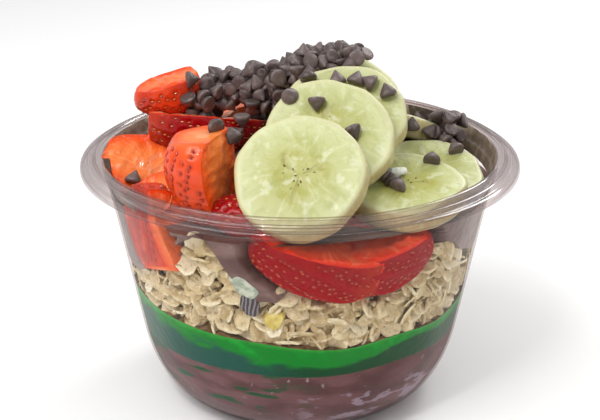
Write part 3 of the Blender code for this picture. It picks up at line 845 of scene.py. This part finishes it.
def wall_band(rng, count, spread, over=1.0, spacing=0.0):
    """Places in the granola, as angle, height and depth behind the wall, more of them near the wall."""
    places = []
    for _ in range(60 * count):
        if len(places) == count:
            break
        turn, rise = rng.uniform(-math.pi, math.pi), rng.uniform(0, 1)
        x, y = BAND_R * math.cos(turn), BAND_R * math.sin(turn)
        low, high = green_surface(x, y) + 0.6, granola_surface(x, y) - over
        height = low + rise * max(high - low, 0.5)
        if rng.uniform() > (high - low) / MOST_HIGH:
            continue
        if spacing and places:
            taken = np.array(places)
            aside = ((taken[:, 0] - turn + math.pi) % (2 * math.pi) - math.pi) * BAND_R
            if np.hypot(aside, taken[:, 1] - height).min() < spacing:
                continue
        if fruit_behind(turn, height, 4.0) is None:
            places.append((turn, height, rng.uniform(0.2, 1.0) ** 2 * spread))
    return np.array(places)


def keep_in(points):
    """Points with what would pass through the wall laid flat against it."""
    reach = np.hypot(points[..., 0], points[..., 1])
    room = wall_radius(points[..., 2]) + 0.1
    points[..., :2] *= np.minimum(1.0, room / np.maximum(reach, 1.0))[..., None]
    return points


def spread_out(rng, template, turn, local, places, off):
    """Copies with points of their own, each turned and put at its place near the wall, this far off it."""
    reach = wall_radius(places[:, 1]) - off - places[:, 2]
    centres = np.stack([reach * np.cos(places[:, 0]), reach * np.sin(places[:, 0]), places[:, 1]], 1)
    world = np.einsum("nij,npj->npi", turn, local) + centres[:, None]
    return copies(template, keep_in(world), tint=rng.uniform(0, 1, len(places)))


def oat_flakes(rng, places):
    """Rolled oats: thin ovals with a crease along the middle and a ragged, curled edge."""
    around = np.linspace(0, 2 * math.pi, 12, endpoint=False)
    count = len(places)
    long = rng.uniform(3.2, 4.9, count)[:, None, None]
    wide = long * rng.uniform(0.62, 0.86, count)[:, None, None]
    ragged = 1 + rng.uniform(-0.13, 0.1, (count, 1, len(around)))
    section = np.array(FLAKE_SECTION)[None, :, :, None]
    reach = section[:, :, 0] * ragged
    x, y = long * reach * np.cos(around), wide * reach * np.sin(around)
    z = section[:, :, 1] * rng.uniform(0.8, 1.25, count)[:, None, None]
    crease = 0.55 * np.exp(-((y / 0.7) ** 2)) * (1 - (x / (long * 1.15)) ** 2)
    z = z * (1 - 0.9 * crease) - 0.35 * crease
    curl = rng.normal(0, 0.018, (2, count))[:, :, None, None]
    z = z + curl[0] * x**2 + curl[1] * y**2 + rng.normal(0, 0.07, z.shape)
    rings = np.stack([x, y, z], -1)
    template = wrap(rings[0])
    poles = np.stack([rings[:, 0].mean(1), rings[:, -1].mean(1)], 1) - (0, 0, 0.25)
    local = np.concatenate([rings.reshape(count, -1, 3), poles], 1)
    turn = random_turns(rng, count)
    lean = rng.uniform(0, 1, count) < 0.66
    for i in np.flatnonzero(lean):
        azimuth = math.degrees(places[i, 0]) + rng.normal(0, 26)
        turn[i] = facing(compass(azimuth, rng.normal(12, 30)), Vector(rng.normal(size=3)))
    flakes = spread_out(rng, template, turn, local, places, 0.35)
    ends = np.zeros((count, 2))
    flakes.marks["crease"] = np.concatenate([crease.reshape(count, -1) / 0.55, ends], 1).ravel()
    return flakes


def crumb_shapes(rng, places, low, high):
    """Rough crumbs of oat and bran."""
    count = len(places)
    template = wrap(lathe(((0.6, -0.6), (1.0, 0.0), (0.6, 0.6)), 5))
    local = template.points[None] * rng.uniform(0.7, 1.3, (count, len(template.points), 1))
    local = local * rng.uniform(0.6, 1.2, (count, 1, 3)) * rng.uniform(low, high, (count, 1, 1))
    return spread_out(rng, template, random_turns(rng, count), local, places, 0.2)


oat, place = start_finish("toasted oats")
tint = place.mark("tint")
highlight_patches = place.cloud(1.5, 4.0)
colour = tint.band(0.05, 0.6).mix(rgb(204, 184, 138), rgb(230, 216, 172))
colour = tint.band(0.6, 1.0).mix(colour, rgb(245, 238, 208))
# Painted highlight: near-white patches stand for light on the flakes.
colour = (highlight_patches.band(0.48, 0.7) * 0.6).mix(colour, rgb(252, 247, 224))
colour = (place.cloud(0.9, 3.0, 7.0).band(0.58, 0.7) * 0.5).mix(colour, rgb(166, 132, 88))
# Painted shade: each flake is darkened along its crease.
colour = (place.mark("crease").band(0.3, 1.0) * 0.55).mix(colour, rgb(148, 118, 74))
toasted = {"Coat Weight": 0.08, "Coat Roughness": 0.4}
end_finish(place, colour, 0.62, place.cloud(0.7, 4.0, 3.0), 0.3, toasted)
patches, rough_bumps = ((2.2, 4.0), (0.35, 0.7)), (1.2, 6.0, 2.0, 0.7)
# The crumbs behind the flakes are coloured dark, partly as crumbs and partly as painted shade in the gaps
# between flakes.
crumb = speckled("granola crumbs and gap shade", *patches, (78, 56, 32), (158, 126, 84), 0.75, rough_bumps, 1.2)

rings, level = fill_between(green_surface, granola_surface, 44)
rough = lumps(rings.reshape(-1, 3), 2.2, 4.0).reshape(rings.shape[:2])
rings[..., :2] *= 1 - ((HEAP_DEPTH - 1.6 * rough) * (level > 0.02) / FILL_R)[..., None]
rings[..., 2] -= (level > 0.97) * 1.2
add_piece("granola_heap", wrap(rings), [crumb], ["granola"])

rng = np.random.default_rng(7)
front = wall_band(rng, FLAKES, 1.2, 0.3, FLAKE_SPACING) + (0, 0, 0.8)
deeper = wall_band(rng, DEEPER_FLAKES, 2.6) + (0, 0, 2.4)
flakes = oat_flakes(rng, np.concatenate([front, deeper]))
add_piece("oat_flakes", flakes, [oat], sharp=80.0)
behind = wall_band(rng, CRUMBS, 2.4, 0.4) + (0, 0, 1.3)
crumbs = crumb_shapes(rng, behind, 0.45, 1.2)
add_piece("oat_crumbs", crumbs, [oat], sharp=80.0)

# ---- The acai scoop ----
# The same frozen blend, scooped on top of the granola and pressed down, so that it fills the tub round the
# fruit up to just below the mouth and stands in a low dome in the middle.

SCOOP_EDGE_Z = 70.5
SCOOP_RISE = 20.0
SMEAR_TOP_Z = TUB_HIGH - 1.0
SOFTEN = 8  # steps over which the scoop slopes in to a berry at the wall
SOFT_DEPTH = 3.0  # the most that such a slope may draw it in
BEHIND_FRUIT = 0.8
DOME_X, DOME_Y, DOME_R = 4, 6, 48


def scoop_surface(x, y):
    """The top of the scoop: level near the wall and domed in the middle, a little behind centre."""
    away = math.hypot(x - DOME_X, y - DOME_Y) / DOME_R
    dome = math.cos(min(1.0, away) * math.pi) * 0.5 + 0.5
    return SCOOP_EDGE_Z + SCOOP_RISE * dome + 0.9 * noise.noise(Vector((x, y, 30.0)) / 16)


scooped, place = start_finish("scooped acai")
streaks = (place * (0.7, 0.7, 1.6)).cloud(11.0, 3.0)
colour = streaks.band(0.35, 0.7).mix(rgb(98, 72, 68), rgb(136, 110, 104))
colour = (place.cloud(3.0, 5.0, 8.0, 0.65).band(0.6, 0.7) * 0.4).mix(colour, rgb(160, 142, 138))
end_finish(place, colour, 0.3, place.cloud(2.4, 4.0), 0.35, {"Specular IOR Level": 0.3})
rings, level = fill_between(granola_surface, scoop_surface, 60, 576)
hollow = np.zeros(level.shape)
for k, i in zip(*np.nonzero((level > 0.0) & (level < 1.0))):
    x, y, z = rings[k, i]
    behind = fruit_behind(math.atan2(y, x), z)
    if behind is not None:
        hollow[k, i] = behind + BEHIND_FRUIT + INTO_WALL
soft = hollow
for _ in range(SOFTEN):
    soft = (np.roll(soft, 1, 1) + np.roll(soft, -1, 1) + 2 * soft) / 4
    soft[1:-1] = (soft[:-2] + soft[2:] + 2 * soft[1:-1]) / 4
    soft = np.maximum(soft, hollow)
soft = np.minimum(soft, np.where(hollow > 0, hollow, SOFT_DEPTH))
rings[..., :2] *= 1 - (soft / np.hypot(rings[..., 0], rings[..., 1]).clip(1))[..., None]
add_piece("scooped_acai", wrap(rings), [scooped], ["acai_scoop"])

# ---- The smear of acai up the back wall ----
# What the spoon left of the same blend on the inside of the tub, above the scoop and round the back: a film
# under a millimetre thick with an uneven upper edge, drawn over the ledge and into the bead.

SMEAR_FROM, SMEAR_TO = -28.0, 216.0
SMEAR_ROWS, SMEAR_STEPS = 20, 240
SMEAR_THINS = 14  # degrees over which the film runs out at each end


def smear_shape():
    """The film, as a flat tube that runs round the tub from one end of the smear to the other."""
    r, z = inside.T
    on_wall = (r > WALL_LOW_R) & (r < BEAD_R - 0.5)
    line = inside[on_wall & (z > SCOOP_EDGE_Z - 3) & (z < SMEAR_TOP_Z)]
    along = np.concatenate([[0], np.cumsum(np.hypot(*np.diff(line, axis=0).T))])
    rings = []
    for angle in np.linspace(SMEAR_FROM, SMEAR_TO, SMEAR_STEPS):
        turn = math.radians(angle)
        way = Vector((math.cos(turn), math.sin(turn), 0.0))
        ends = min(1.0, (angle - SMEAR_FROM) / SMEAR_THINS, (SMEAR_TO - angle) / SMEAR_THINS)
        uneven = 0.16 * noise.noise(way * 3.2) + 0.1 * noise.noise(way * 11)
        top = along[-1] * min(1.0, 0.25 + 0.78 * ends + uneven)
        reach = np.linspace(0, top, SMEAR_ROWS)
        r, z = np.interp(reach, along, line[:, 0]), np.interp(reach, along, line[:, 1])
        thick = [0.45 + 0.3 * noise.noise(way * 30 + Vector((0, 0, h / 3))) for h in z]
        thick = np.array(thick) * (1 - np.linspace(0, 1, SMEAR_ROWS) ** 4 * 0.85)
        r, z = np.concatenate([r + 0.15, (r - thick)[::-1]]), np.concatenate([z, z[::-1]])
        rings.append(np.stack([r * way.x, r * way.y, z], -1))
    return wrap(np.array(rings))


smeared, place = start_finish("smeared acai")
streaks = (place * (1.0, 1.0, 0.5)).cloud(4.0, 5.0)
colour = streaks.band(0.35, 0.7).mix(rgb(118, 102, 90), rgb(160, 144, 128))
end_finish(place, colour, 0.3, place.cloud(1.8, 4.0), 0.3, {"Specular IOR Level": 0.4})
add_piece("acai_smear", smear_shape(), [smeared])

# ---- Other bits in the granola ----
# A pale dried chip, a striped sunflower seed and a yellow flake lie among the oats where they show through
# the wall, and a white crumb has rolled onto a slice of banana.


def pebble(half, number):
    """A lumpy flattened bit, half as long, wide and thick as it is given."""
    rise = np.linspace(-0.96, 0.96, 14) * math.pi / 2
    ball = lathe(np.stack([np.cos(rise), np.sin(rise)], -1), 24)
    points = ball.reshape(-1, 3) * half
    points *= (1 + 0.35 * lumps(points, 3.5, number) + 0.12 * lumps(points, 1.2, number))[:, None]
    return wrap(points.reshape(ball.shape))


step, bumps = (0.35, 0.65), (0.9, 4.0)
pale = speckled("pale dried chip", (2.0, 4.0), step, (150, 168, 150), (206, 214, 196), 0.6, bumps, 0.3)
yellow = speckled("yellow flake", (1.6, 4.0), step, (206, 184, 84), (228, 212, 128), 0.55, bumps, 0.3)
white_bit = speckled("white crumb", (2.0, 4.0), step, (214, 226, 206), (244, 246, 234), 0.5, bumps, 0.3)
striped, place = start_finish("striped seed")
across = place.axis("Y") + place.cloud(3.0) * 1.2
colour = place.worked("SINE", across * 5.2).band(-0.2, 0.7).mix(rgb(54, 50, 58), rgb(138, 132, 132))
end_finish(place, colour, 0.5, place.cloud(0.6, 3.0), 0.2)

# name: finish, angle round the tub, height, half sizes, lean of its long way, reach into the sheet
WALL_BITS = {
    "pale_chip": (pale, -106.5, 56.5, (5.4, 2.7, 1.3), -42, 0.5),
    "sunflower_seed": (striped, -105.2, 50.6, (4.2, 2.9, 1.5), 80, 0.45),
    "yellow_flake": (yellow, -98.0, 45.6, (3.3, 2.8, 1.0), 20, 0.2),
}
CRUMB_SPOT, CRUMB_LIFT = (28.1, -29.7, 81.6), 1.3
for number, (name, (finish, angle, height, half, lean, into)) in enumerate(WALL_BITS.items()):
    outward = compass(angle, 0)
    turn = facing(outward, Vector((0, 0, 1)).cross(outward)) @ Matrix.Rotation(math.radians(lean), 3, "Z")
    reach = float(wall_radius(height)) + into - half[2] * 0.5
    centre = np.array(outward * reach) + (0, 0, height)
    shape = pebble(half, number + 3.0)
    shape.points = pressed(shape.points, turn, centre, into)
    where = set_at(centre, turn)
    add_piece(name, shape, [finish], place=where)
spot, normal, _, _ = fruit_trees["banana_5"].find_nearest(Vector(CRUMB_SPOT))
turn = facing(normal, Vector((1, 0.3, 0)))
where = set_at(spot + normal * CRUMB_LIFT, turn)
add_piece("white_crumb", pebble((3.4, 1.9, 1.4), 9.0), [white_bit], place=where)

# ---- The chocolate chips ----
# Small dark chips with a flat base and a blunt point, dusted with the pale bloom of cold chocolate, painted
# paler still as the sheen of the chips. Most lie in a heap over the fruit at the back; the others have
# rolled down and stuck where they stopped.

CHIP_R = 2.6
CHIP_HIGH = 4.2
CHIP_SPACING = 3.1
HEAP_TRIES = 12000
HEAP_CHIPS = {"chips_heap": 480, "chips_back": 80}
CHIP_SIDE = 0.3  # the angle between a chip's axis and the surface that its edge is stuck to, in radians
CORE_DEPTH = 3.2  # how far the core of a heap lies inside its solid
CHIP_DEPTHS = [1.9, 2.4, 4.8]  # how far under a heap's surface the middle of a chip may lie
UNDERSIDE = -0.75  # a heap's surface that faces down more than this gets no chips
CHIP_MIDDLE = 0.42  # how high the middle of a chip is, as a share of its height
TOP_Z = cad_high[2] / MM - 0.1  # no chip of a heap stands above this

# The chips that lie alone on each fruit: the place, and where the point is turned. A chip stands on its base
# without a turn; with one, it lies on its side with its point to the right, or turned from there in degrees.
LOOSE_CHIPS = {
    "banana_3": (
        (2.7, -11.0, 106.0, 95), (11.2, -11.6, 105.6, 100), (16.9, -12.8, 105.6, 70),
        (26.0, -16.7, 103.0, 110), (21.0, -13.5, 104.6, 150),
    ),
    "banana_2": (
        (-2.9, -23.2, 103.7, None), (5.0, -26.1, 101.8, -90), (15.9, -33.9, 95.4, -70),
    ),
    "banana_6": ((49.0, -0.2, 78.8, 110),),
    "banana_5": (
        (39.4, -22.1, 83.0, 85), (24.2, -31.3, 81.2, 160), (28.7, -35.8, 79.4, 60),
        (26.9, -33.4, 80.5, 100),
    ),
    "banana_7": ((35.6, 9.9, 84.9, 90), (41.3, 11.5, 82.3, 60), (48.0, 16.4, 80.1, 120)),
    "strawberry_1": ((-34.4, 3.6, 100.9, 10), (-35.4, 2.4, 95.1, -60)),
    "strawberry_2": ((-50.3, -20.1, 77.8, 80),),
    "strawberry_3": ((-24.6, -33.3, 96.4, 120), (-20.4, -31.7, 94.4, None)),
    "strawberry_4": ((-18.7, -6.0, 91.0, -80), (-19.6, -8.0, 88.0, 40)),
}


def chip_template():
    """One chip, its base at z = 0 and its point up."""
    line = np.array(
        [(0.5, 0.0), (0.86, 0.0), (0.97, 0.05), (1.0, 0.14), (0.97, 0.26), (0.8, 0.43)]
        + [(0.56, 0.62), (0.35, 0.78), (0.2, 0.9), (0.08, 0.98)]
    )
    return wrap(lathe(line * (CHIP_R, CHIP_HIGH), 16))


def heap_places(rng, node, count):
    """Places and directions of chips that lie in the outer layer of a heap's solid."""
    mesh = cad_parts[node].data
    mesh.calc_loop_triangles()
    corners = np.array([[mesh.vertices[v].co for v in tri.vertices] for tri in mesh.loop_triangles]) / MM
    normals = np.cross(corners[:, 1] - corners[:, 0], corners[:, 2] - corners[:, 0])
    area = np.linalg.norm(normals, axis=1)
    normals /= np.maximum(area, 1e-9)[:, None]
    pick = rng.choice(len(area), HEAP_TRIES, p=area / area.sum())
    share = np.sort(rng.uniform(size=(HEAP_TRIES, 2)), axis=1)
    weights = np.stack([share[:, 0], share[:, 1] - share[:, 0], 1 - share[:, 1]], 1)
    spots = np.einsum("nc,nci->ni", weights, corners[pick])
    kept = []
    for spot, normal in zip(spots, normals[pick]):
        spot = spot - normal * rng.choice(CHIP_DEPTHS)
        if normal[2] < UNDERSIDE:
            continue
        if all(np.linalg.norm(spot - other) > CHIP_SPACING for other, _ in kept):
            kept.append((spot, normal))
        if len(kept) == count:
            break
    return kept


def heap_core(node):
    """A heap's solid drawn in behind its outer chips, so that chocolate shows wherever they leave a gap."""
    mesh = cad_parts[node].data
    mesh.calc_loop_triangles()
    points = np.array([vertex.co for vertex in mesh.vertices]) / MM
    tris = np.array([tri.vertices for tri in mesh.loop_triangles])
    _, first, same = np.unique(points.round(3), axis=0, return_index=True, return_inverse=True)
    points, tris = points[first], same.ravel()[tris]
    across = np.cross(points[tris[:, 1]] - points[tris[:, 0]], points[tris[:, 2]] - points[tris[:, 0]])
    inward = np.zeros_like(points)
    for corner in range(3):
        np.add.at(inward, tris[:, corner], -across)
    inward /= np.maximum(np.linalg.norm(inward, axis=1), 1e-9)[:, None]
    return Shape(points + inward * CORE_DEPTH, np.zeros((0, 4), int), tris, tint=0.0)


def settled(name, spot, point):
    """The place and the direction of the point of a chip that lies alone on a piece of fruit."""
    spot, normal, _, _ = fruit_trees[name].find_nearest(Vector(spot))
    if point is None:
        return spot + normal * CHIP_HIGH * 0.36, normal
    right = (Vector((1, 0, 0)) - normal * normal.x).normalized()
    along = Matrix.Rotation(math.radians(point), 3, normal) @ right
    side = CHIP_SIDE if point > 0 else -CHIP_SIDE
    return spot + normal * CHIP_R * 0.62, along * math.cos(side) + normal * math.sin(side)


rng = np.random.default_rng(11)
template = chip_template()
about_middle = template.points - (0, 0, CHIP_HIGH * CHIP_MIDDLE)
chips = []
for name, places in LOOSE_CHIPS.items():
    for *spot, point in places:
        spot, axis = settled(name, spot, point)
        turn = np.array(facing(axis, Vector(rng.normal(size=3))))
        chips.append(about_middle * 1.02 @ turn.T + np.array(spot))
for node, count in HEAP_CHIPS.items():
    for spot, normal in heap_places(rng, node, count):
        lean = Vector(normal * 0.5 + rng.normal(size=3) * 0.75)
        turn = np.array(facing(lean, Vector(rng.normal(size=3))))
        size = rng.uniform(0.88, 1.04)
        chip = about_middle * size @ turn.T + spot
        chips.append(chip - (0, 0, max(0.0, chip[:, 2].max() - TOP_Z)))
chips = np.array(chips)

chocolate, place = start_finish("dark chocolate")
tint = place.mark("tint")
# The bloom patches are real bloom and also painted sheen: they and the chips' colours are painted paler for
# the shine of the chocolate.
colour = tint.mix(rgb(74, 61, 58), rgb(106, 91, 88))
bloom_and_sheen = place.cloud(1.6, 4.0).band(0.5, 0.72) * 0.45
colour = bloom_and_sheen.mix(colour, rgb(150, 138, 136))
end_finish(place, colour, 0.42 + bloom_and_sheen * 0.3, place.cloud(0.8, 3.0), 0.12)
chips = copies(template, chips, tint=rng.uniform(0, 1, len(chips)))
heaps = joined([chips, *map(heap_core, HEAP_CHIPS)])
add_piece("chocolate_chips", heaps, [chocolate], list(HEAP_CHIPS))

# ---- The floor, the light and the camera ----
# A plain white floor under soft light from all round, one large lamp above to the left and a small one that
# puts the glints on wet fruit and plastic.

floor_mesh = bpy.data.meshes.new("floor")
floor_mesh.from_pydata([(-3, -3, 0), (3, -3, 0), (3, 3, 0), (-3, 3, 0)], [], [(0, 1, 2, 3)])
floor = bpy.data.objects.new("floor", floor_mesh)
bpy.context.scene.collection.objects.link(floor)
white, place = start_finish("white floor")
end_finish(place, (0.97, 0.97, 0.97, 1), 0.9)
floor_mesh.materials.append(white)

world = bpy.data.worlds.new("soft light")
world.use_nodes = True
light = world.node_tree.nodes["Background"].inputs
light["Color"].default_value, light["Strength"].default_value = (1, 1, 1, 1), 0.55
bpy.context.scene.world = world


BOWL_MIDDLE = Vector((0, 0, 0.06))


def add_lamp(name, place, size, power, high=None):
    """A lamp that looks at the middle of the bowl, square unless a height is given."""
    lamp = bpy.data.lights.new(name, "AREA")
    lamp.size, lamp.energy = size, power
    if high:
        lamp.shape, lamp.size_y = "RECTANGLE", high
    obj = bpy.data.objects.new(name, lamp)
    obj.location = place
    obj.rotation_euler = (BOWL_MIDDLE - Vector(place)).to_track_quat("-Z", "Y").to_euler()
    bpy.context.scene.collection.objects.link(obj)


add_lamp("soft lamp", (-0.45, -0.35, 0.75), 0.6, 4.0)
add_lamp("glint lamp", (-0.18, -0.42, 0.62), 0.04, 0.7)
add_lamp("back lamp", (0.4, 0.5, 0.6), 0.3, 2.5)
add_lamp("strip lamp", (0.0, -0.3, 0.62), 1.3, 1.0, 0.05)

EYE = (0.0, -0.42617, 0.223)
LOOKS_DOWN = 21.04
camera = bpy.data.cameras.new("camera")
camera.lens, camera.sensor_width = 85.32, 36.0
camera.clip_start, camera.clip_end = 0.01, 20.0
camera_object = bpy.data.objects.new("camera", camera)
camera_object.location = EYE
camera_object.rotation_euler = (math.radians(90 - LOOKS_DOWN), 0, 0)
bpy.context.scene.collection.objects.link(camera_object)
bpy.context.scene.camera = camera_object
bpy.context.scene.view_settings.view_transform = "Standard"
